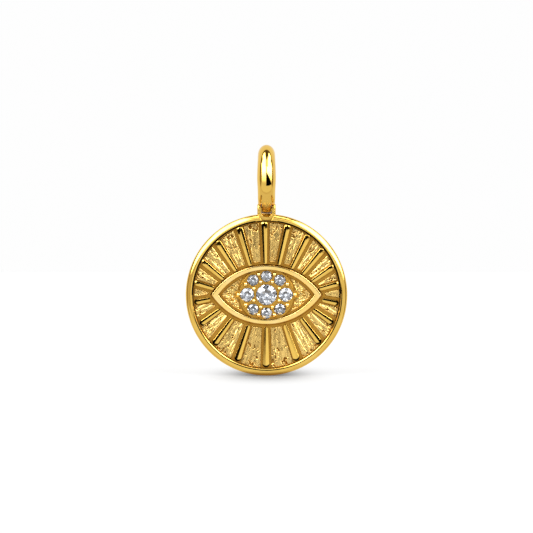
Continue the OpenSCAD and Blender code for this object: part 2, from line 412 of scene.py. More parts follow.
def addPiece(name, mesh, place, material, node="medallion", body="medallion",
             sharp=0, faceted=False):
    mesh.transform(place)
    mesh.materials.clear()
    mesh.materials.append(material)
    if faceted:
        mesh.shade_flat()
    else:
        mesh.shade_smooth()
    if sharp:
        mesh.set_sharp_from_angle(angle=math.radians(sharp))
    piece = looseObject(name, mesh)
    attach(piece, body)
    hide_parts(node)
    print(name, len(mesh.polygons), "faces")


# Geometry node helpers

def startTree(name, sizes):
    tree = bpy.data.node_groups.new(name, "GeometryNodeTree")
    tree.is_modifier = True
    sockets = tree.interface
    sockets.new_socket("Geometry", in_out="INPUT", socket_type="NodeSocketGeometry")
    for label, value in sizes.items():
        kind = "NodeSocketInt" if isinstance(value, int) else "NodeSocketFloat"
        sockets.new_socket(label, in_out="INPUT", socket_type=kind)
    sockets.new_socket("Finish", in_out="INPUT", socket_type="NodeSocketMaterial")
    sockets.new_socket("Geometry", in_out="OUTPUT", socket_type="NodeSocketGeometry")
    return tree, tree.nodes.new("NodeGroupInput").outputs


def endTree(tree, shape, finish):
    real = addNode(tree, "GeometryNodeRealizeInstances", {}, {"Geometry": shape})
    painted = addNode(tree, "GeometryNodeSetMaterial", {}, {
        "Geometry": real.outputs[0], "Material": finish})
    tree.links.new(painted.outputs[0], tree.nodes.new("NodeGroupOutput").inputs[0])


def grown(mesh, tree, sizes, finish):
    thing = looseObject("seed", mesh)
    step = thing.modifiers.new("grow", "NODES")
    step.node_group = tree
    given = {**sizes, "Finish": finish}
    for item in tree.interface.items_tree:
        if item.in_out == "INPUT" and item.name in given:
            step[item.identifier] = given[item.name]
    result = bakedMesh(thing)
    thing.modifiers.remove(step)
    dropObject(thing)
    return result


def storePoints(mesh, domain="POINT", **values):
    for name, numbers in values.items():
        mesh.attributes.new(name, "FLOAT", domain).data.foreach_set("value", numbers)


def attributeOf(tree, name):
    return addNode(tree, "GeometryNodeInputNamedAttribute", {"data_type": "FLOAT"}, {"Name": name}).outputs[0]


def stored(tree, shape, name, value):
    return addNode(tree, "GeometryNodeStoreNamedAttribute", {"data_type": "FLOAT", "domain": "POINT"}, {
        "Geometry": shape, "Name": name, "Value": value}).outputs[0]


def moved(tree, shape, **where):
    return addNode(tree, "GeometryNodeSetPosition", {}, {"Geometry": shape, **where}).outputs[0]


# The disc's section, which the other pieces on it are placed by

disc = {
    "plate": 0.8,  # thickness under the rays
    "rimWidth": 0.5,
    "rimHeight": 0.4,
    # Inside the crest the rim falls in short slopes: how wide each is and its angle
    "innerSlopes": [(0.085, 9), (0.05, 20), (0.012, 60)],
    "outerBow": 0.76,  # radius of the slope outside the crest
    "outerTilt": 14,  # that slope's angle at the crest
    "edgeBow": 0.4,  # radius of the tighter round that follows it
    "edgeTilt": 31,
    "backRound": 0.15,
    "backRing": 0.05,  # these two rings keep the flat back and the side straight beside their rounds
    "sideRing": 0.3,
    "groove": 0.035,  # width of the line at the foot of the rim
    "grooveDepth": 0.1,
    "grooveLip": 0.02,
    "frontFrom": 0.5,  # points over this height are on the disc's front
    "paintedShade": 0.62,  # painted black shade on the rim's inner wall, how it fades downwards and how far up it reaches
    "paintedShadeFade": 0.5,
    "paintedShadeUpper": 0.06,
    "paintedShadeLower": 0.01,
    "around": 360,
}
crest = disc["plate"] + disc["rimHeight"]
insideRim = discRadius - disc["rimWidth"]


def rimSlope(shrink=0.0):
    # Over the rim from outside: a tight round, a broad bow up to the crest, then short slopes down inside
    bow, edge = disc["outerBow"], disc["edgeBow"]
    tilt, turn = math.radians(disc["outerTilt"]), math.radians(disc["edgeTilt"])
    r = insideRim + sum(width for width, _ in disc["innerSlopes"])
    x, y = r - bow * math.sin(tilt), crest - bow * math.cos(tilt)
    edgeX, edgeY = x + (bow - edge) * math.sin(turn), y + (bow - edge) * math.cos(turn)
    endAt = math.degrees(math.acos((discRadius - edgeX) / edge))
    slope = arcPoints(edgeX, edgeY, edge - shrink, endAt, 90 - disc["edgeTilt"], 10)
    slope += arcPoints(x, y, bow - shrink, 90 - disc["edgeTilt"], 90 - disc["outerTilt"], 12)[1:]
    h = crest - shrink
    for width, angle in disc["innerSlopes"]:
        steps = 4 if width > 0.02 else 1
        for _ in range(steps):
            r, h = r - width / steps, h - width / steps * math.tan(math.radians(angle))
            slope.append((max(r, insideRim + shrink), h))
    return slope


def discProfile():
    # From the middle of the back, round the edge and over the rim to the ground inside it
    r, low, lip = discRadius, disc["backRound"], disc["grooveLip"]
    ground, sunk = disc["plate"], disc["plate"] - disc["grooveDepth"]
    grooveEnd = insideRim - disc["groove"]
    slope = rimSlope()
    profile = [(0, 0), (r / 2, 0), (r - low - disc["backRing"], 0)]
    profile += arcPoints(r - low, low, low, -90, 0, 8)
    profile += [(r, slope[0][1] - disc["sideRing"])] + slope
    profile += [(insideRim, ground), (insideRim, sunk), (grooveEnd, sunk)]
    return profile + [(grooveEnd, ground - lip), (grooveEnd - lip, ground)]


# The eye's outline: a lens of two arcs with slightly rounded tips

eye = {
    "halfWidth": 4.07,
    "halfHeight": 2.17,
    "openHalfWidth": 3.575,
    "openHalfHeight": 1.86,
    "height": 0.42,
    "sunk": 0.05,  # how deep the frame stands in the disc
    "skirt": 0.12,  # how far its outer side spreads at the foot
    "skirtTaper": 0.93,  # share of that left just over the ground
    "skirtRise": 0.02,
    "innerSlope": 0.05,
    "edgeRound": 0.035,
    "crown": 0.003,  # rise of the band's middle
    "tipRound": 0.07,
    "tipTighten": 0.6,  # share of the tips' round that is lost over the band
    "openTipRound": 0.02,
}


def lensArc(halfWidth, halfHeight):
    radius = (halfWidth ** 2 + halfHeight ** 2) / (2 * halfHeight)
    return radius, radius - halfHeight


eyeRadius, eyeSink = lensArc(eye["halfWidth"], eye["halfHeight"])
openRadius, openSink = lensArc(eye["openHalfWidth"], eye["openHalfHeight"])


def almond(radius, sink, tipRound, height, longSteps=96, tipSteps=8):
    tipX = math.sqrt((radius - tipRound) ** 2 - sink ** 2)
    lean = math.degrees(math.atan2(tipX, sink))
    top = arcPoints(0, -sink, radius, 90 - lean, 90 + lean, longSteps)
    left = arcPoints(-tipX, 0, tipRound, 90 + lean, 270 - lean, tipSteps)
    bottom = arcPoints(0, sink, radius, 270 - lean, 270 + lean, longSteps)
    right = arcPoints(tipX, 0, tipRound, lean - 90, 90 - lean, tipSteps)
    return [(x, y, height) for x, y in top[:-1] + left[:-1] + bottom[:-1] + right[:-1]]


# The rays

rays = {
    "wide": 0.5,
    "narrow": 0.31,
    "channel": 0.15,
    "channelUnder": 0.1,  # the channels run this far under the eye's frame
    "aim": 1.75,  # how far past the centre an upright ray's line aims
    "upperRimGap": 0.01,
    "lowerRimGap": 0.1,
    "upperFootGap": 0.12,
    "lowerFootGap": 0.26,
    "noseLength": 0.42,  # the upper bars bow down towards the rim
    "noseDrop": 0.07,
    "upperFlat": 0.2,  # share of the width that is level before the flanks fall away
    "lowerFlat": 0.02,
    "heelLength": 0.3,  # the lower bars' ends are painted black round their edge, standing in for dark reflections and shade
    "capSteps": 9,
    "bodySteps": 14,
    # angle at the rim in degrees, and width there as a share of "wide"
    "rows": [
        (8.6, 0.74), (22.6, 0.78), (38.3, 0.9), (54.6, 0.94), (72.8, 0.94),
        (91.8, 1), (112.3, 1), (133, 0.94), (152.8, 0.82), (170.6, 0.74),
        (185.9, 0.74), (203.6, 0.82), (222.9, 0.9), (245.6, 1), (269.6, 1.06),
        (295.2, 1), (318.2, 0.9), (337.2, 0.82), (353.3, 0.74),
    ],
}
# The bars' section, in shares of their half width, and the painted black round their lower ends, standing in
# for dark reflections and shade
barSizes = {
    "Weld": 0.0005,
    "Section Points": 64,
    "Lean": 0.16,  # fall of the flanks
    "Lean Round": 0.12,
    "Edge": 0.86,  # where the soft edge starts
    "Edge Drop": 0.14,
    "Foot": 1.12,
    "Heel Shade": 1.1,
    "Shoulder Shade": 0.45,
    "Shade Start": -0.05,
}


def onCircle(degrees, radius):
    return Vector((radius * math.cos(math.radians(degrees)), radius * math.sin(math.radians(degrees))))


def rayFoot(degrees, radius, gap):
    # Where the ray's line comes within a gap of the eye
    up = math.sin(math.radians(degrees))
    side = 1 if up > 0 else -1
    tip = onCircle(degrees, radius)
    aim = Vector((0, -side * rays["aim"] * (1 - (1 - abs(up)) ** 3)))
    way = (aim - tip).normalized()
    start = tip - Vector((0, -side * eyeSink))
    b = start.dot(way)
    k = start.length_squared - (eyeRadius + gap) ** 2
    return tip + way * (-b - math.sqrt(b * b - k))


def makeBarTree():
    tree, given = startTree("ray_bars", barSizes)
    line = addNode(tree, "GeometryNodeMeshToCurve", {}, {"Mesh": given["Geometry"]}).outputs[0]
    # The section is flat with soft edges on upright sides, its lower half buried
    section = addNode(tree, "GeometryNodeCurvePrimitiveCircle", {"mode": "RADIUS"}, {
        "Resolution": given["Section Points"], "Radius": 1.0}).outputs[0]
    place = splitOf(tree, addNode(tree, "GeometryNodeInputPosition").outputs[0])
    above = mathOf(tree, "GREATER_THAN", place["Y"], -0.001)
    shoulder = mathOf(tree, "ABSOLUTE", place["X"])
    past = mathOf(tree, "MAXIMUM", minus(tree, shoulder, given["Edge"]), 0.0)
    past = mathOf(tree, "DIVIDE", past, minus(tree, 1.0, given["Edge"]))
    turned = minus(tree, 1.0, mathOf(tree, "SQRT", minus(tree, 1.0, times(tree, past, past))))
    # The sweep turns the section's y downwards
    height = minus(tree, 2.0, times(tree, turned, given["Edge Drop"]))
    level = minus(tree, 1.0, times(tree, above, height))
    spread = timesPlus(tree, minus(tree, 1.0, given["Foot"]), above, given["Foot"])
    for name, value in (("above", above), ("shoulder", shoulder)):
        section = stored(tree, section, name, value)
    section = moved(tree, section, Position=vectorOf(tree, X=times(tree, place["X"], spread), Y=level))
    swept = addNode(tree, "GeometryNodeCurveToMesh", {}, {
        "Curve": line, "Profile Curve": section, "Scale": attributeOf(tree, "halfWidth")}).outputs[0]
    # The ridge keeps one height all along, the flanks fall away from it and the noses bow down
    names = ("halfWidth", "shoulder", "flat", "raise", "nose", "above", "heel")
    halfWidth, shoulder, flat, raised, nose, above, heel = (attributeOf(tree, name) for name in names)
    lean = mathOf(tree, "SMOOTH_MAX", minus(tree, shoulder, flat), 0.0, given["Lean Round"])
    fall = times(tree, times(tree, lean, given["Lean"]), halfWidth)
    lift = times(tree, minus(tree, raised, plus(tree, nose, fall)), above)
    # Round the lower ends the shoulders are painted black, standing in for dark reflections and shade
    ends = timesPlus(tree, times(tree, shoulder, shoulder), given["Shoulder Shade"], given["Shade Start"])
    ends = timesPlus(tree, heel, given["Heel Shade"], ends)
    swept = stored(tree, swept, "paintedShade", times(tree, ends, mathOf(tree, "GREATER_THAN", heel, 0.001)))
    bars = moved(tree, swept, Offset=vectorOf(tree, Z=lift))
    welded = addNode(tree, "GeometryNodeMergeByDistance", {}, {
        "Geometry": bars, "Distance": given["Weld"]}).outputs[0]
    # The swept faces look inwards
    turnedOut = addNode(tree, "GeometryNodeFlipFaces", {}, {"Mesh": welded}).outputs[0]
    endTree(tree, turnedOut, given["Finish"])
    return tree


def buildRays():
    points, edges = [], []
    values = {"halfWidth": [], "raise": [], "nose": [], "heel": [], "flat": []}
    for degrees, share in rays["rows"]:
        upper = math.sin(math.radians(degrees)) > 0
        half = "upper" if upper else "lower"
        outRadius, inRadius = rays["wide"] * share / 2, rays["narrow"] / 2
        endRadius = insideRim - rays[half + "RimGap"] - outRadius
        tip = onCircle(degrees, endRadius)
        foot = rayFoot(degrees, endRadius, rays[half + "FootGap"] + inRadius)
        length = (tip - foot).length
        way = (tip - foot) / length
        # Half round at both ends, wider towards the rim
        turns = [math.pi / 2 * i / rays["capSteps"] for i in range(rays["capSteps"])]
        shares = [i / rays["bodySteps"] for i in range(rays["bodySteps"] + 1)]
        spots = [(-inRadius * math.cos(a), inRadius * math.sin(a)) for a in turns]
        spots += [(length * k, inRadius + (outRadius - inRadius) * k) for k in shares]
        spots += [(length + outRadius * math.cos(a), outRadius * math.sin(a)) for a in reversed(turns)]
        start = len(points)
        edges += [(start + i, start + i + 1) for i in range(len(spots) - 1)]
        for along, width in spots:
            p = foot + way * along
            fromTip = length + outRadius - along
            nose = max(0, 1 - fromTip / rays["noseLength"]) ** 2 * rays["noseDrop"]
            points.append((p.x, p.y, disc["plate"]))
            values["halfWidth"].append(width)
            values["raise"].append(rays["wide"] / 2 - width)
            values["nose"].append(nose if upper else 0)
            values["flat"].append(rays[half + "Flat"])
            values["heel"].append(0 if upper else max(0, 1 - fromTip / rays["heelLength"]))
    seed = bpy.data.meshes.new("ray_lines")
    seed.from_pydata(points, edges, [])
    storePoints(seed, **values)
    addPiece("ray_bars", grown(seed, makeBarTree(), barSizes, barGold), onDisc, barGold, sharp=35)


# Bark between the rays

barkSizes = {
    "Ridge": 0.036,  # height of the long folds
    "Grain": 0.007,  # height of the fine grain
    "Swing": 3.2,  # full swing of the noise over its usual one
    "Pit": 0.09,  # depth of the pits
    "Fold Width": 0.15,
    "Fold Length": 1.4,
    "Grain Width": 0.07,
    "Grain Length": 0.5,
    "Pit Width": 0.22,
    "Pit Length": 0.38,
    "Pit Limit": 0.67,
    "Pit Edge": 0.09,
    "Crowding": 0.09,  # pits crowd towards the rim
    "Noise Roughness": 0.55,
    "Relief Low": -0.08,  # lift at which the painted pit shade is darkest, and the tone lightest
    "Relief High": 0.05,
    "Field Step": 5.3,  # how far apart the fields lie in the noise
    "Pit Step": 40.0,
    "Seed": 11,
}
panel = {
    "height": 0.09,
    "spacing": 0.0205,
    "edgeRound": 0.05,
    "edgeCalm": 0.08,  # the pattern fades out over this width along the edges
    "sunk": 0.06,
    "upperRimGap": 0.11,
    "lowerRimGap": 0.045,
    "rimwardFrom": 3.6,  # radius from which the pits crowd, more and more over this width
    "rimwardOver": 1.5,
    "upperCount": 9,  # how many of the fields lie above the eye
}


def makeBarkTree():
    tree, given = startTree("bark_relief", barkSizes)
    across, along = attributeOf(tree, "across"), attributeOf(tree, "along")
    seed = timesPlus(tree, attributeOf(tree, "field"), given["Field Step"], given["Seed"])

    def pattern(kind, seed, detail, distortion):
        place = vectorOf(tree, X=mathOf(tree, "DIVIDE", across, given[kind + " Width"]),
                         Y=mathOf(tree, "DIVIDE", along, given[kind + " Length"]), Z=seed)
        return addNode(tree, "ShaderNodeTexNoise", {}, {
            "Vector": place, "Scale": 1.0, "Detail": detail, "Roughness": given["Noise Roughness"],
            "Distortion": distortion}).outputs["Fac"]

    def swing(noise, height):
        return times(tree, minus(tree, noise, 0.5), times(tree, height, given["Swing"]))

    ridge = swing(pattern("Fold", seed, 2.0, 0.5), given["Ridge"])
    fine = swing(pattern("Grain", seed, 3.0, 0.3), given["Grain"])
    pits = pattern("Pit", plus(tree, seed, given["Pit Step"]), 1.0, 0.6)
    limit = minus(tree, given["Pit Limit"], times(tree, attributeOf(tree, "rimward"), given["Crowding"]))
    deep = rangeOf(tree, pits, limit, plus(tree, limit, given["Pit Edge"]), kind="SMOOTHSTEP")
    total = minus(tree, plus(tree, ridge, fine), times(tree, deep, given["Pit"]))
    lift = times(tree, total, attributeOf(tree, "inside"))
    relief = rangeOf(tree, lift, given["Relief Low"], given["Relief High"])
    shape = stored(tree, given["Geometry"], "relief", relief)
    endTree(tree, moved(tree, shape, Offset=vectorOf(tree, Z=lift)), given["Finish"])
    return tree


class Relief:
    # Patches of a raised field, with what the bark pattern needs at each point

    def __init__(self):
        self.shell = Shell()
        self.values = {"across": [], "along": [], "field": [], "inside": [], "rimward": []}

    def addPatch(self, grid, height, number, rimwardOf):
        rows, columns = len(grid), len(grid[0])
        base = disc["plate"]
        points = []
        for i, row in enumerate(grid):
            for j, (p, across, along, edge) in enumerate(row):
                border = i in (0, rows - 1) or j in (0, columns - 1)
                k = min(edge / panel["edgeRound"], 1)
                top = base + height - panel["edgeRound"] * (1 - math.sqrt(max(0, 1 - (1 - k) ** 2)))
                points.append((p.x, p.y, base - panel["sunk"] if border else top))
                self.values["across"].append(across)
                self.values["along"].append(along)
                self.values["field"].append(number)
                self.values["inside"].append(0 if border else min(edge / panel["edgeCalm"], 1))
                self.values["rimward"].append(rimwardOf(p))
        faces = []
        for i in range(rows - 1):
            for j in range(columns - 1):
                a = i * columns + j
                faces.append((a, a + 1, a + columns + 1, a + columns))
        outline = list(range(columns))
        outline += [i * columns + columns - 1 for i in range(1, rows)]
        outline += [(rows - 1) * columns + j for j in range(columns - 2, -1, -1)]
        outline += [i * columns for i in range(rows - 2, 0, -1)]
        faces.append(tuple(reversed(outline)))
        self.shell.add(points, faces)

    def mesh(self, name):
        mesh = bpy.data.meshes.new(name)
        mesh.from_pydata(self.shell.points, [], self.shell.faces)
        storePoints(mesh, **self.values)
        return edited(mesh)


def channelEdge(row, side):
    # The line beside a ray where its channel ends and the bark begins
    degrees, share = row
    outer = onCircle(degrees, discRadius)
    inner = rayFoot(degrees, discRadius, -rays["channelUnder"])
    way = (outer - inner).normalized()
    normal = Vector((-way.y, way.x)) * side
    return (inner + normal * (rays["narrow"] / 2 + rays["channel"]),
            outer + normal * (rays["wide"] * share / 2 + rays["channel"]))


def crossing(start, end, test, steps=40):
    # First place from start to end where test turns from above zero to below
    low = 0.0
    for i in range(1, steps + 1):
        k = i / steps
        if test(start.lerp(end, k)) < 0:
            for _ in range(30):
                middle = (low + k) / 2
                if test(start.lerp(end, middle)) < 0:
                    k = middle
                else:
                    low = middle
            return start.lerp(end, k)
        low = k
    return end


def panelGrid(first, second):
    a0, a1 = channelEdge(first, 1)
    b0, b1 = channelEdge(second, -1)
    outRadius = insideRim - panel["upperRimGap" if a1.y > 0 else "lowerRimGap"]
    lens = eyeRadius + (eye["skirt"] + rays["channel"])

    def toRim(p):
        return outRadius - p.length

    def toEye(p):
        return max(math.hypot(p.x, p.y + eyeSink), math.hypot(p.x, p.y - eyeSink)) - lens

    a1 = crossing(a0, a1, toRim)
    b1 = crossing(b0, b1, toRim)
    fromAngle = math.atan2(a1.y, a1.x)
    sweep = (math.atan2(b1.y, b1.x) - fromAngle) % (2 * math.pi)
    columns = max(8, round(sweep * outRadius / panel["spacing"]))
    lines = []
    for j in range(columns + 1):
        u = j / columns
        angle = fromAngle + sweep * u
        far = Vector((outRadius * math.cos(angle), outRadius * math.sin(angle)))
        near = a0.lerp(b0, u)
        lines.append((crossing(far, near + (near - far) * 0.2, toEye, 80), far))
    longest = max((far - near).length for near, far in lines)
    rows = max(8, round(longest / panel["spacing"]))
    grid = []
    for i in range(rows + 1):
        v = i / rows
        wide = (lines[0][0].lerp(lines[0][1], v) - lines[-1][0].lerp(lines[-1][1], v)).length
        row = []
        for j, (near, far) in enumerate(lines):
            u = j / columns
            tall = (far - near).length
            edge = min(u * wide, (1 - u) * wide, v * tall, (1 - v) * tall)
            row.append((near.lerp(far, v), (u - 0.5) * wide, v * tall, edge))
        grid.append(row)
    return grid


def rimwardOf(p):
    return max(0, min(1, (p.length - panel["rimwardFrom"]) / panel["rimwardOver"]))


def buildBark(tree):
    rows = rays["rows"]
    halves = {"bark_upper": Relief(), "bark_lower": Relief()}
    for i, row in enumerate(rows):
        relief = halves["bark_upper" if i < panel["upperCount"] else "bark_lower"]
        relief.addPatch(panelGrid(row, rows[(i + 1) % len(rows)]), panel["height"], i + 1, rimwardOf)
    for name, relief in halves.items():
        addPiece(name, grown(relief.mesh(name), tree, barkSizes, bark), onDisc, bark)


# The iris plate and the stones' seats

iris = {
    "radius": 2.05,
    "height": 0.16,
    "edgeRound": 0.04,
    "lensOver": 0.05,  # the plate runs this far under the eye frame
    "spread": 0.02,  # of its side at the foot
    "border": 0.015,  # level strip inside the soft edge
    "lobeX": 2.11,
    "lobeRadius": 0.3,
    "around": 288,
}
cut = {
    "pavilion": 0.43,
    "girdle": 0.03,
    "crown": 0.15,
    "table": 0.56,
    "starLess": 13,  # how much flatter than the crown the facets round the table are
    "starReach": 0.965,
    "upperMore": 7,  # how much steeper those over the girdle are, and those under it
    "upperReach": 0.992,
    "upperRise": 0.001,
    "lowerMore": 1.6,
    "lowerReach": 0.99,
    "darkFrom": 0.78,  # facets further out than this share of the radius are painted dark by turns, as dark reflections
    "around": 96,
    "firstTurn": 6,
    "turn": 17,
}
seat = {"gap": 0.02, "lip": 0.02, "lipEdge": 0.012, "below": 0.03, "middle": 0.05, "around": 64}
girdleHeight = disc["plate"] + iris["height"] - seat["below"]


def stoneSpots():
    # Each stone's place on the disc and its diameter, from its node's box
    spots = {}
    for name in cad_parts:
        if "stone" in name:
            low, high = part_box(name)
            spots[name] = ((low.x + high.x) / 2 / mm, (low.z + high.z) / 2 / mm - discMiddle,
                           (high.x - low.x) / mm)
    return spots


stones = stoneSpots()


def irisRing(inset, height):
    # A circle that the eye's opening clips, with a lobe at each side
    ring = []
    for i in range(iris["around"]):
        angle = 2 * math.pi * i / iris["around"]
        c, s = abs(math.cos(angle)), abs(math.sin(angle))
        lens = openRadius + iris["lensOver"]
        reach = min(iris["radius"], -openSink * s + math.sqrt(lens ** 2 - (openSink * c) ** 2))
        if iris["lobeX"] * s < iris["lobeRadius"]:
            lobe = math.sqrt(iris["lobeRadius"] ** 2 - (iris["lobeX"] * s) ** 2)
            reach = max(reach, iris["lobeX"] * c + lobe)
        ring.append(((reach - inset) * math.cos(angle), (reach - inset) * math.sin(angle), height))
    return ring


def insideLoop(x, y, loop):
    inside = False
    for (ax, ay, _), (bx, by, _) in zip(loop, loop[1:] + loop[:1]):
        if (ay > y) != (by > y) and x < (bx - ax) * (y - ay) / (by - ay) + ax:
            inside = not inside
    return inside


def flatFill(shell, outer, holes):
    places, edges = [], []
    for loop in [outer] + holes:
        start = len(places)
        places += [Vector(p[:2]) for p in loop]
        edges += [(start + i, start + (i + 1) % len(loop)) for i in range(len(loop))]
    points, _, faces, _, _, _ = geometry.delaunay_2d_cdt(places, edges, [], 0, 1e-6)
    kept = []
    for face in faces:
        x = sum(points[i].x for i in face) / 3
        y = sum(points[i].y for i in face) / 3
        if insideLoop(x, y, outer) and not any(insideLoop(x, y, hole) for hole in holes):
            kept.append(tuple(face))
    shell.add([(p.x, p.y, outer[0][2]) for p in points], kept)


def seatLoops(x, y, d, top):
    lip, wall = seat["lip"], d / 2 + seat["gap"]
    bottom = girdleHeight - d * cut["pavilion"] - seat["gap"]
    rings = [(wall + lip + seat["lipEdge"], top)]
    rings += [(wall + lip - a, top - lip + b) for a, b in arcPoints(0, 0, lip, 90, 0, 4)]
    rings += [(wall, girdleHeight), (seat["middle"], bottom), (0, bottom)]
    return [[(x + px, y + py, h) for px, py, h in ringOf(r, h, seat["around"])] for r, h in rings]


def rimGap():
    # Room for the lug block's stretch of rim
    halfAngle = lugs["span"] - lugs["spanGap"]
    outline = arcPoints(0, 0, insideRim + lugs["sideGap"], 90 + halfAngle, 90 - halfAngle, 24)
    outline += arcPoints(0, 0, discRadius + 0.2, 90 - halfAngle, 90 + halfAngle, 24)
    return prismMesh("gap", outline, lugs["root"] + lugs["rootGap"], 2)


def buildDisc():
    shell = Shell()
    profile = discProfile()
    shell.skin([ringOf(r, h, disc["around"]) for r, h in profile])
    foot = irisRing(-iris["spread"], disc["plate"])
    flatFill(shell, ringOf(profile[-1][0], disc["plate"], disc["around"]), [foot])

    # The iris plate's soft edge
    top, soft = disc["plate"] + iris["height"], iris["edgeRound"]
    edge = [foot, irisRing(0, disc["plate"])]
    edge += [irisRing(soft - x, top - soft + y) for x, y in arcPoints(0, 0, soft, 0, 90, 5)]
    edge.append(irisRing(soft + iris["border"], top))
    shell.skin(edge)

    # A seat under each stone
    holes = []
    for x, y, d in stones.values():
        loops = seatLoops(x, y, d, top)
        shell.skin(loops)
        holes.append(loops[0])
    flatFill(shell, edge[-1], holes)
    mesh = combined(shell.mesh("disc"), rimGap(), "DIFFERENCE")

    values = {"recess": [], "paintedShade": []}
    hair = 0.005
    for x, y, z in (v.co for v in mesh.vertices):
        reach = math.hypot(x, y)
        front = z > disc["frontFrom"]
        # The low ground inside the rim is marked for its painted shade
        values["recess"].append(1.0 if front and reach < insideRim - 2 * hair else 0.0)
        # Painted black on the rim's inner wall, standing in for dark reflections and shade, fading downwards
        upTo = disc["paintedShadeUpper" if y > 0 else "paintedShadeLower"]
        wall = front and insideRim - disc["groove"] - hair < reach < insideRim + upTo
        values["paintedShade"].append(disc["paintedShade"] + disc["paintedShadeFade"] * min(0, y / reach) if wall else 0.0)
    storePoints(mesh, **values)
    addPiece("disc", mesh, onDisc, discGold, sharp=25)


# The eye's frame, its corners and the beads

def buildEyeFrame():
    base, edge, tip = disc["plate"], eye["edgeRound"], eye["tipRound"]
    low, top = base - eye["sunk"], base + eye["height"]
    rows = [(eye["skirt"], low), (eye["skirt"] * eye["skirtTaper"], base + eye["skirtRise"])]
    rows += [(x - edge, top - edge + y) for x, y in arcPoints(0, 0, edge, 0, 90, 5)]
    rings = [almond(eyeRadius + shift, eyeSink, tip, h) for shift, h in rows]
    # Over the band, whose tips tighten inwards
    for k in (0.25, 0.5, 0.75):
        halfWidth = eye["halfWidth"] + (eye["openHalfWidth"] - eye["halfWidth"]) * k
        halfHeight = eye["halfHeight"] + (eye["openHalfHeight"] - eye["halfHeight"]) * k
        rise = eye["crown"] * (1 - (2 * k - 1) ** 2)
        rings.append(almond(*lensArc(halfWidth, halfHeight), tip * (1 - eye["tipTighten"] * k), top + rise))
    rows = [(edge - x, top - edge + y) for x, y in arcPoints(0, 0, edge, 90, 0, 5)]
    rows.append((-eye["innerSlope"], low))
    rings += [almond(openRadius + shift, openSink, eye["openTipRound"], h) for shift, h in rows]
    shell = Shell()
    shell.skin(rings, closed=True)
    addPiece("eye_frame", shell.mesh("eye_frame"), onDisc, frameGold, sharp=35)


corner = {
    "margin": 0.13,
    "irisGap": 0.1,
    "height": 0.05,
    "spacing": 0.02,
    "columns": 110,
    "rimward": 0.5,
    "innerShare": 0.8,  # of the iris circle's radius, from which the rows are counted
    "tipGap": 0.02,
    "tipFade": 0.8,
    # The bark is finer here
    "bark": {"Ridge": 0.04, "Grain": 0.006, "Pit": 0.1, "Fold Width": 0.24, "Fold Length": 0.34,
             "Grain Width": 0.12, "Grain Length": 0.16, "Pit Limit": 0.62},
}


def cornerGrid(side):
    lens = openRadius - eye["innerSlope"] - corner["margin"]
    tipX = math.sqrt(lens ** 2 - openSink ** 2)
    circle = iris["radius"] + corner["irisGap"]
    columns = corner["columns"]
    rows = round((tipX - circle * corner["innerShare"]) / corner["spacing"])

    def reach(x):
        return math.sqrt(max(0, lens ** 2 - x * x)) - openSink

    grid = []
    for i in range(rows + 1):
        v = i / rows
        row = []
        for j in range(columns + 1):
            u = 2 * j / columns - 1
            # The inner border follows the iris plate
            low, high = 0.0, circle
            for _ in range(24):
                middle = (low + high) / 2
                if math.hypot(middle, u * reach(middle)) < circle:
                    low = middle
                else:
                    high = middle
            x = low + (tipX - corner["tipGap"] - low) * v
            y = u * reach(x)
            edge = min((1 - abs(u)) * reach(x), x - low, (tipX - x) * corner["tipFade"])
            row.append((Vector((side * x, y)), y, x, edge))
        grid.append(row)
    return grid


def buildCorners(tree):
    relief = Relief()
    for number, side in ((31, -1), (32, 1)):
        relief.addPatch(cornerGrid(side), corner["height"], number, lambda p: corner["rimward"])
    mesh = grown(relief.mesh("eye_corners"), tree, {**barkSizes, **corner["bark"]}, bark)
    addPiece("eye_corners", mesh, onDisc, bark)


# Beads that hold the stones: diameters, and places in one quarter of the eye as x, y and kind
beads = {
    "inner": 0.29,
    "outer": 0.33,
    "rows": [
        (0.94, 0.45, "inner"), (0.43, 0.93, "inner"),
        (1.545, 0.776, "outer"), (0.586, 1.507, "outer"), (2.11, 0, "outer"),
    ],
}
beadSizes = {"Segments": 32, "Rings": 20}


def buildBeads():
    points, radii = [], []
    for x, y, kind in beads["rows"]:
        for sx in (-1, 1):
            for sy in ((-1, 1) if y else (1,)):
                points.append((sx * x, sy * y, disc["plate"] + iris["height"]))
                radii.append(beads[kind] / 2)
    seed = bpy.data.meshes.new("bead_points")
    seed.from_pydata(points, [], [])
    storePoints(seed, beadRadius=radii)
    tree, given = startTree("grain_beads", beadSizes)
    ball = addNode(tree, "GeometryNodeMeshUVSphere", {}, {
        "Segments": given["Segments"], "Rings": given["Rings"], "Radius": 1.0}).outputs[0]
    placed = addNode(tree, "GeometryNodeInstanceOnPoints", {}, {
        "Points": given["Geometry"], "Instance": ball, "Scale": attributeOf(tree, "beadRadius")}).outputs[0]
    endTree(tree, placed, given["Finish"])
    addPiece("grain_beads", grown(seed, tree, beadSizes, frameGold), onDisc, frameGold)


# Stones, cut plane by plane from a round blank

def facet(edit, azimuth, slope, radius, height):
    # One plane, leaning back from a point at the given radius and height
    a, s = math.radians(azimuth), math.radians(slope)
    out = Vector((math.cos(a), math.sin(a), 0))
    normal = out * math.sin(abs(s)) + Vector((0, 0, math.cos(s) * (1 if slope > 0 else -1)))
    shapes = edit.verts[:] + edit.edges[:] + edit.faces[:]
    cutNow = bmesh.ops.bisect_plane(edit, geom=shapes, plane_co=out * radius + Vector((0, 0, height)),
                                    plane_no=normal, clear_outer=True, dist=1e-6)
    rim = [g for g in cutNow["geom_cut"] if isinstance(g, bmesh.types.BMEdge)]
    if rim:
        bmesh.ops.holes_fill(edit, edges=rim, sides=0)


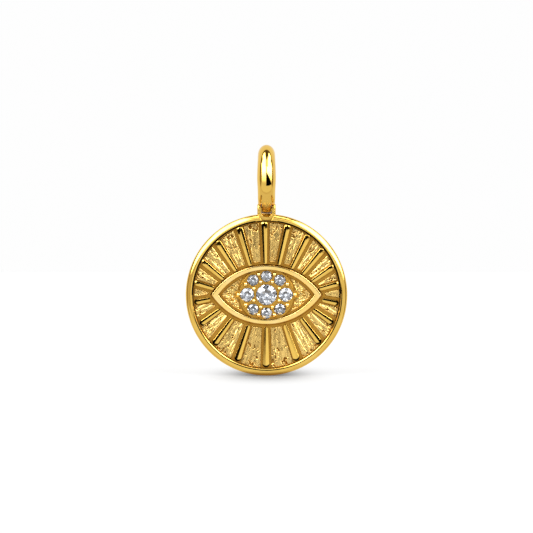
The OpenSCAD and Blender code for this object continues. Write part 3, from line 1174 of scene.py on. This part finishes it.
def brilliant(name, d):
    r = d / 2
    top, keel = d * cut["girdle"], -d * cut["pavilion"]
    tableHeight = top + d * cut["crown"]
    crownSlope = math.degrees(math.atan2(cut["crown"], 0.5 - cut["table"] / 2))
    pavilionSlope = math.degrees(math.atan2(cut["pavilion"], 0.5))

    def work(edit):
        for i in range(8):
            facet(edit, 45 * i, crownSlope, r, top)
            facet(edit, 45 * i + 22.5, crownSlope - cut["starLess"],
                  d * cut["table"] / 2 * cut["starReach"], tableHeight)
            facet(edit, 45 * i, -pavilionSlope, r, 0)
        for i in range(16):
            between = 22.5 * i + 11.25
            facet(edit, between, crownSlope + cut["upperMore"], r * cut["upperReach"], top + cut["upperRise"])
            facet(edit, between, -(pavilionSlope + cut["lowerMore"]), r * cut["lowerReach"], 0)
        bmesh.ops.remove_doubles(edit, verts=edit.verts, dist=1e-5)
        bmesh.ops.dissolve_limit(edit, angle_limit=math.radians(0.5), verts=edit.verts, edges=edit.edges)

    blank = latheMesh(name, [(0, keel), (r, keel), (r, tableHeight), (0, tableHeight)], cut["around"])
    mesh = edited(blank, work)
    # Painted dark reflections on every other facet round the edge
    shades = []
    for face in mesh.polygons:
        x, y, z = face.center
        sector = int(math.degrees(math.atan2(y, x)) % 360 / 22.5)
        outer = math.hypot(x, y) > cut["darkFrom"] * r and z > top
        shades.append(1.0 if outer and sector % 2 else 0.0)
    storePoints(mesh, "FACE", dark=shades)
    return mesh


def buildStones():
    for i, (name, (x, y, d)) in enumerate(sorted(stones.items())):
        # Each is dropped into its seat at its own turn
        turn = Matrix.Rotation(math.radians(cut["turn"] * i + cut["firstTurn"]), 4, "Z")
        mesh = brilliant(name, d)
        mesh.transform(Matrix.Translation((x, y, girdleHeight)) @ turn)
        addPiece(name + "_cut", mesh, onDisc, smallStone if d < stoneFinish["smallBelow"] else stone,
                 node=name, faceted=True)


# Lugs and the web between them, one block with their stretch of rim

lugs = {
    "radius": 0.38,
    "thick": 0.31,
    "slot": 0.75,
    "edge": 0.12,
    "inner": 0.03,
    "base": 0.8,  # share of the rim's width from which the lugs rise
    "root": 0.4,  # height from which the block's stretch of rim starts
    "rootGap": 0.02,
    "sideGap": 0.004,
    "span": 9,  # half of that stretch, in degrees
    "spanGap": 0.4,
    "spanSteps": 24,
    "voxel": 0.017,
    "soften": 6,
    "wearFrom": -0.02,  # rubbed from this height over the disc's edge
    "wearOver": 0.12,
}
web = {"gap": 0.012, "boss": 0.33, "rise": 0.014}  # its top rises a little towards the back
# Hollow in the rim's top before the tongue: half widths, and the height it is cut down to
notch = {"outside": 0.71, "inside": 0.36, "height": 0.86}
# Round hollow in the web's front
cove = {"radius": 0.5, "slot": 0.4, "y": -0.26, "down": 0.1, "half": 0.6}
hangLine = discBack  # the pin's height over the disc's back


def lugSolid(side):
    start = lugs["slot"] / 2
    thick, edge, inner = lugs["thick"], lugs["edge"], lugs["inner"]
    base = discRadius - disc["rimWidth"] * lugs["base"]
    stations = [(inner - x, inner - y) for x, y in arcPoints(0, 0, inner, 0, 90, 3)]
    stations += [(thick - edge + x, edge - y) for x, y in arcPoints(0, 0, edge, 90, 0, 6)]
    rings = []
    for x, inset in stations:
        # Round top, straight sides down into the rim
        r = lugs["radius"] - inset
        outline = [(hangLine + h, y) for h, y in arcPoints(0, pinAbove, r, 0, 180, 24)]
        outline += [(hangLine - r, base), (hangLine + r, base)]
        rings.append([(side * (start + x), y, h) for h, y in outline])
    return blockMesh("lug", rings)


def rimSegment():
    # The stretch of rim that the lugs grow from, a hair inside the lathe's line
    section = rimSlope(0.002)
    section += [(section[-1][0], lugs["root"]), (section[0][0], lugs["root"])]
    halfAngle, steps = lugs["span"], lugs["spanSteps"]
    rings = []
    for i in range(steps + 1):
        a = math.radians(90 - halfAngle + 2 * halfAngle * i / steps)
        rings.append([(r * math.cos(a), r * math.sin(a), h) for r, h in section])
    return blockMesh("rim", rings)


def webBlock():
    # Drawn in depth and height, then turned so that it runs from lug to lug
    half = lugs["slot"] / 2 + lugs["thick"] / 2
    low = discRadius - disc["rimWidth"] / 2
    high = pinAbove - web["boss"] - web["gap"]
    back, front = hangLine - lugs["radius"], hangLine + lugs["radius"]
    outline = [(back, low), (front, low), (front, high), (hangLine, high), (back, high + web["rise"])]
    block = prismMesh("web", outline, -half, half)
    block.transform(Matrix.Rotation(-math.pi / 2, 4, "Y"))
    return block


def notchCutter():
    r, over = discRadius, discRadius + 0.1
    inside, outside = notch["inside"], notch["outside"]
    return prismMesh("notch", [(-inside, insideRim), (inside, insideRim), (outside, r),
                               (outside, over), (-outside, over), (-outside, r)], notch["height"], 2)


def coveCutter():
    y, level, half = discRadius + cove["y"], crest - cove["down"], cove["half"]
    upright = rodMesh("upright", cove["slot"], (0, y + cove["slot"], 0), (0, y + cove["slot"], 3))
    lying = rodMesh("lying", cove["radius"], (-half, y + cove["radius"], level),
                    (half, y + cove["radius"], level))
    return combined(upright, lying, "INTERSECT")


def buildLugs():
    whole = lugSolid(-1)
    for block in (lugSolid(1), rimSegment(), webBlock()):
        whole = combined(whole, block, "UNION")
    for cutter in (notchCutter(), coveCutter()):
        whole = combined(whole, cutter, "DIFFERENCE")
    # The voxels melt the parts into one casting
    thing = looseObject("lug_block", whole)
    remesh = thing.modifiers.new("remesh", "REMESH")
    remesh.mode = "VOXEL"
    remesh.voxel_size = lugs["voxel"]
    soften = thing.modifiers.new("soften", "SMOOTH")
    soften.factor = 0.5
    soften.iterations = lugs["soften"]
    mesh = bakedMesh(thing)
    dropObject(thing)
    storePoints(mesh, wear=[smoothStep((v.co.y - discRadius - lugs["wearFrom"]) / lugs["wearOver"])
                            for v in mesh.vertices])
    addPiece("lugs", mesh, onDisc, hingeGold)


pin = {"dome": 0.012, "domeAt": 0.6, "edge": 0.03, "around": 48}


def buildPin():
    half = lugs["slot"] / 2 + lugs["thick"]
    r = (pinHigh.z - pinLow.z) / 2 / mm
    dome, edge = pin["dome"], pin["edge"]
    end = [(0, half + dome), (r * pin["domeAt"], half + dome * pin["domeAt"])]
    end += [(r - edge + x, half - edge + y) for x, y in arcPoints(0, 0, edge, 80, 0, 4)]
    mesh = latheMesh("pin", end + [(r, 0)] + [(x, -h) for x, h in reversed(end)], pin["around"])
    mesh.transform(Matrix.Rotation(math.pi / 2, 4, "Y"))
    addPiece("hinge_pin_rod", mesh, onBail, pinGold, node="hinge_pin", sharp=40)


# The bail, drawn from the pin upwards

bail = {
    "crownThick": 0.88,
    "sideThick": 0.78,
    "waist": 2.05,
    "boss": 0.33,
    "hole": 0.3,
    "holeLevel": 0.92,
    "footWidth": 0.92,
    "shoulder": 0.39,
    "shoulderWidth": 1.29,
    "widest": 2.1,
    "width": 1.4,
    "crownWidth": 1.3,
    "domeFoot": 0.35,  # share of the section's thickness that is its outer dome, and its gain upwards
    "domeGain": 0.55,
    "backDome": 0.03,  # the hinge's back half is fuller, up to this height and from this depth
    "backUpTo": 0.6,
    "backFrom": -0.26,
    "backOver": 0.2,
    "tongueHalf": 0.37,
    "tongueTip": 0.275,
    "tongueEnd": 0.3,
    "tongueTop": 0.4,
    "cornerRound": 0.04,
    "tongueSteps": 28,
    "step": 0.14,  # how far before the pin's line the steps beside the tongue lie
    "bore": 0.18,
    "wearFrom": 0.15,  # rubbed below this height, fading upwards
    "wearOver": 0.4,
    "around": 56,
    "legSteps": 130,
    "topSteps": 70,
    "bossSteps": 20,
}


def eggOutline(smallRadius, smallLevel, bigRadius, top):
    # Half the loop from the bottom up: small end, leg, and half an ellipse over the top
    waist = bail["waist"]
    lean = math.asin((bigRadius - smallRadius) / (waist - smallLevel))
    half = []
    for i in range(bail["bossSteps"]):
        a = -math.pi / 2 + (math.pi / 2 - lean) * i / bail["bossSteps"]
        half.append((smallRadius * math.cos(a), smallLevel + smallRadius * math.sin(a)))
    for i in range(bail["legSteps"]):
        k = i / bail["legSteps"]
        r = smallRadius + (bigRadius - smallRadius) * k
        half.append((r * math.cos(lean), smallLevel + (waist - smallLevel) * k - r * math.sin(lean)))
    for i in range(bail["topSteps"] + 1):
        a = -lean + (math.pi / 2 + lean) * i / bail["topSteps"]
        rise = bigRadius if a < 0 else top - waist
        half.append((bigRadius * math.cos(a), waist + rise * math.sin(a)))
    return half + [(-y, z) for y, z in reversed(half[1:-1])]


def loopWidth(z):
    # From the foot over the shoulder to the widest place, then in again to the crown
    levels = [(-bail["boss"], bail["footWidth"]), (bail["shoulder"], bail["shoulderWidth"]),
              (bail["widest"], bail["width"]), (bailTop, bail["crownWidth"])]
    for (low, wide), (high, nextWide) in zip(levels, levels[1:]):
        if z < high or high == bailTop:
            return wide + (nextWide - wide) * smoothStep((z - low) / (high - low))


def tongueEdge(z):
    # Half width of the tongue's narrowed front
    tip = bail["tongueTip"]
    if z < 0:
        return tip * math.sqrt(max(0, 1 - (z / bail["tongueEnd"]) ** 4))
    return tip + (bail["tongueHalf"] - tip) * smoothStep(z / bail["tongueTop"])


def tongueCutters():
    # Room beside the tongue for the lugs, and shallow steps beside its front
    half, top, deep, soft = bail["tongueHalf"], bail["shoulder"], 1.3, bail["cornerRound"]
    end, high, steps = bail["tongueEnd"], bail["tongueTop"], bail["tongueSteps"]
    beside = [(1, -1), (half, -1)]
    beside += [(half + soft - x, top - soft + y) for x, y in arcPoints(0, 0, soft, 0, 90, 5)] + [(1, top)]
    levels = [-end + (high + end) * i / steps for i in range(steps + 1)]
    front = [(tongueEdge(z), z) for z in levels] + [(0.6, high), (0.6, -0.6), (0, -0.6)]
    solids = []
    for side in (-1, 1):
        for outline, near, far in ((beside, -deep, deep), (front, -deep, -bail["step"])):
            # Drawn in x and z, then stood up so that its depth runs along y
            mesh = prismMesh("beside", [(side * x, z) for x, z in outline], -far, -near)
            mesh.transform(Matrix.Rotation(math.pi / 2, 4, "X"))
            solids.append(mesh)
    return solids


def buildBail():
    outer = eggOutline(bail["boss"], 0, bailHalfDepth, bailTop)
    inner = eggOutline(bail["hole"], bail["holeLevel"], bailHalfDepth - bail["sideThick"],
                       bailTop - bail["crownThick"])
    rings = []
    for (oy, oz), (iy, iz) in zip(outer, inner):
        width = loopWidth(oz)
        dome = bail["domeFoot"] + bail["domeGain"] * smoothStep((oz + bail["boss"]) / bail["widest"])
        below = 1 - smoothStep(oz / bail["backUpTo"])
        behind = smoothStep((oy - bail["backFrom"]) / bail["backOver"])
        dome += (bail["backDome"] - dome) * below * behind
        ring = []
        for j in range(bail["around"]):
            s = 2 * math.pi * j / bail["around"]
            v = 1 - dome + (dome if s < math.pi else 1 - dome) * math.sin(s)
            ring.append((width / 2 * math.cos(s), iy + (oy - iy) * v, iz + (oz - iz) * v))
        rings.append(ring)
    shell = Shell()
    shell.skin(rings, closed=True)
    mesh = shell.mesh("bail")
    for cutter in [rodMesh("bore", bail["bore"], (-1, 0, 0), (1, 0, 0), 64)] + tongueCutters():
        mesh = combined(mesh, cutter, "DIFFERENCE")
    storePoints(mesh, wear=[1 - smoothStep((v.co.z - bail["wearFrom"]) / bail["wearOver"])
                            for v in mesh.vertices])
    addPiece("bail_loop", mesh, onBail, hingeGold, node="bail", body="bail", sharp=50)


print("building the charm")
barkTree = makeBarkTree()
buildDisc()
buildRays()
buildBark(barkTree)
buildEyeFrame()
buildCorners(barkTree)
buildBeads()
buildStones()
buildLugs()
buildPin()
buildBail()


# Studio: pale floor, soft boxes around the camera, and the camera

studio = {
    "cameraAbove": 2.1,  # height over the disc's centre
    "distance": 110.5,
    "lens": 100,
    "floorColour": (0.08, 0.08, 0.08),
    "floorGlow": 0.86,
    "floorHalf": 2.0,  # metres, as the floor's other measures are
    "floorGap": 0.00002,
    "pool": (0.00274, 0.00583),  # soft pool of shade under the charm, across and in depth
    "poolBehind": 0.0014,
    "poolDepth": 0.93,
    # Degrees as seen from the charm: side from and to, pitch from and to, softness of each, light.
    # Pitch 0 is the camera's level and 90 is overhead
    "panels": [
        (-66, 66, -62, -13, 5, 3, 0.97),
        (-90, 90, 42, 93, 4, 4, 0.1),
        (-11, 20, 22, 52, 5, 5, 1.3),
        (-56, -10, 22, 62, 4, 3, 8.0),
        (17, 66, 22, 62, 4, 3, 8.0),
        (-40, -16, 52, 80, 5, 4, 8.0),
        (24, 48, 52, 80, 5, 4, 8.0),
        (-22, 22, -14, 7, 2, 2, 1.1),
        (26, 66, -14, 20, 3, 4, 0.9),
        (-66, -26, -14, 20, 3, 4, 0.68),
        (-90, 90, -115, -62, 4, 12, 0.85),
        (70, 95, -70, 90, 4, 6, 0.25),
        (-95, -70, -70, 90, 4, 6, 0.3),
    ],
    # Black arc over the lens: its distance from the axis and how far it reaches round
    "arc": {"from": 5.9, "to": 29, "soft": 0.6, "turn": 11, "turnSoft": 1, "light": 0.006},
    "shade": (1.0, 0.72, 0.42),  # tint of the dim parts, as from a warm room
    "front": 0.5,
    "back": 0.99,
}


def worldLight():
    world = bpy.data.worlds.new("studio")
    bpy.context.scene.world = world
    world.use_nodes = True
    tree = world.node_tree
    parts = splitOf(tree, addNode(tree, "ShaderNodeTexCoord").outputs["Generated"])
    toDegrees = 180 / math.pi
    side = times(tree, mathOf(tree, "ARCSINE", parts["X"]), toDegrees)
    toCamera = times(tree, parts["Y"], -1.0)
    pitch = times(tree, mathOf(tree, "ARCTAN2", parts["Z"], toCamera), toDegrees)

    def band(value, low, high, soft):
        middle, half = (low + high) / 2, (high - low) / 2
        away = mathOf(tree, "ABSOLUTE", minus(tree, value, middle))
        return rangeOf(tree, away, half - soft, half + soft, 1.0, 0.0, "SMOOTHSTEP")

    def blendTo(light, target, share):
        return timesPlus(tree, minus(tree, target, light), share, light)

    light = blendTo(studio["front"], studio["back"], rangeOf(tree, toCamera, -0.1, 0.1, 1.0, 0.0))
    for low, high, pitchLow, pitchHigh, soft, pitchSoft, value in studio["panels"]:
        share = times(tree, band(side, low, high, soft), band(pitch, pitchLow, pitchHigh, pitchSoft))
        light = blendTo(light, value, share)
    arc = studio["arc"]
    away = mathOf(tree, "SQRT", plus(tree, times(tree, side, side), times(tree, pitch, pitch)))
    over = timesPlus(tree, side, -math.tan(math.radians(arc["turn"])), pitch)
    share = times(tree, band(away, arc["from"], arc["to"], arc["soft"]), band(over, 0, 200, arc["turnSoft"]))
    light = blendTo(light, arc["light"], share)
    # The camera itself looks at a plain white backdrop
    seen = addNode(tree, "ShaderNodeLightPath").outputs["Is Camera Ray"]
    light = blendTo(light, studio["back"], seen)
    tint = mixColour(tree, rangeOf(tree, light, 0.3, 0.95), studio["shade"], (1, 1, 1))
    connect(tree, tree.nodes["Background"], Color=tint, Strength=light)


def stagedSheet(name, corners, material):
    mesh = bpy.data.meshes.new(name)
    mesh.from_pydata(corners, [], [(0, 1, 2, 3)])
    mesh.materials.append(material)
    sheet = looseObject(name, mesh)
    return sheet


def buildFloor():
    low = discLow.z - studio["floorGap"]
    half = studio["floorHalf"]
    # A lit white sheet: mostly even glow, darker only in the pool under the charm
    material, tree, shader, place = startMaterial(
        "pale_floor", Roughness=0.9, Specular_IOR_Level=0.0, Emission_Color=(1, 1, 1, 1))
    base = studio["floorColour"]
    tone = mixColour(tree, noiseOf(tree, place, 40, 2), [c * 0.99 for c in base], base)
    wide, deep = studio["pool"]
    spot = addNode(tree, "ShaderNodeMapping", {}, {
        "Vector": place, "Scale": (1 / wide, 1 / deep, 0),
        "Location": (0, -studio["poolBehind"] / deep, 0)}).outputs[0]
    away = addNode(tree, "ShaderNodeVectorMath", {"operation": "DOT_PRODUCT"}, {0: spot, 1: spot})
    pool = mathOf(tree, "EXPONENT", times(tree, away.outputs["Value"], -1.0))
    glow = times(tree, timesPlus(tree, pool, -studio["poolDepth"], 1.0), studio["floorGlow"])
    connect(tree, shader, Base_Color=tone, Emission_Strength=glow)
    floor = stagedSheet("floor", [(-half, -half, low), (half, -half, low), (half, half, low),
                                  (-half, half, low)], material)
    floor.visible_glossy = False  # the metal mirrors the studio's own low half instead


# A small card right before the bail, seen only in its polish: white above, with a black wedge
bailCard = {
    "y": -2.6,
    "x": (-1.8, 2.9),
    "z": (-2.74, -0.25),
    "low": 0.9,
    "high": 8.0,
    "rise": (-2.45, -0.75),
    "slit": (-0.17, 0.13),
    "slitLight": 1.2,
    "wedgeLeft": -0.08,
    "wedgeTop": (0.12, -1.02),
    "wedgeFoot": (2.7, -2.74),
}


def buildBailCard():
    (left, right), (low, high), y = bailCard["x"], bailCard["z"], bailCard["y"]
    material, tree, shader, place = startMaterial(
        "bail_card", Specular_IOR_Level=0.0, Base_Color=(0, 0, 0, 1), Emission_Color=(1, 1, 1, 1))
    parts = splitOf(tree, place)
    upwards = rangeOf(tree, parts["Z"], bailCard["rise"][0] * mm, bailCard["rise"][1] * mm)
    light = rangeOf(tree, times(tree, upwards, upwards), 0, 1, bailCard["low"], bailCard["high"])
    slitLow, slitHigh = (x * mm for x in bailCard["slit"])
    fromSlit = mathOf(tree, "ABSOLUTE", minus(tree, parts["X"], (slitLow + slitHigh) / 2))
    wall = rangeOf(tree, fromSlit, (slitHigh - slitLow) * 0.3, (slitHigh - slitLow) * 0.7,
                   bailCard["slitLight"], bailCard["high"])
    light = mathOf(tree, "MINIMUM", light, wall)
    (topX, topZ), (footX, footZ) = bailCard["wedgeTop"], bailCard["wedgeFoot"]
    lean = (footX - topX) / (topZ - footZ)
    across = timesPlus(tree, parts["Z"], lean, parts["X"])
    inside = times(tree, mathOf(tree, "LESS_THAN", across, (topX + lean * topZ) * mm),
                   mathOf(tree, "GREATER_THAN", parts["X"], bailCard["wedgeLeft"] * mm))
    connect(tree, shader, Emission_Strength=times(tree, light, minus(tree, 1.0, inside)))
    corners = [(left, y, low), (right, y, low), (right, y, high), (left, y, high)]
    card = stagedSheet("bail_card", [Vector(p) * mm for p in corners], material)
    for way in ("camera", "diffuse", "shadow", "transmission"):
        setattr(card, "visible_" + way, False)


def placeCamera():
    data = bpy.data.cameras.new("camera")
    data.lens = studio["lens"]
    data.sensor_width = 36
    data.clip_start = 0.005
    data.clip_end = 20
    camera = looseObject("camera", data)
    camera.location = (0, -studio["distance"] * mm, (discMiddle + studio["cameraAbove"]) * mm)
    camera.rotation_euler = (math.pi / 2, 0, 0)
    bpy.context.scene.camera = camera


worldLight()
buildFloor()
buildBailCard()
placeCamera()
bpy.context.scene.view_settings.view_transform = "Standard"
print("studio ready")
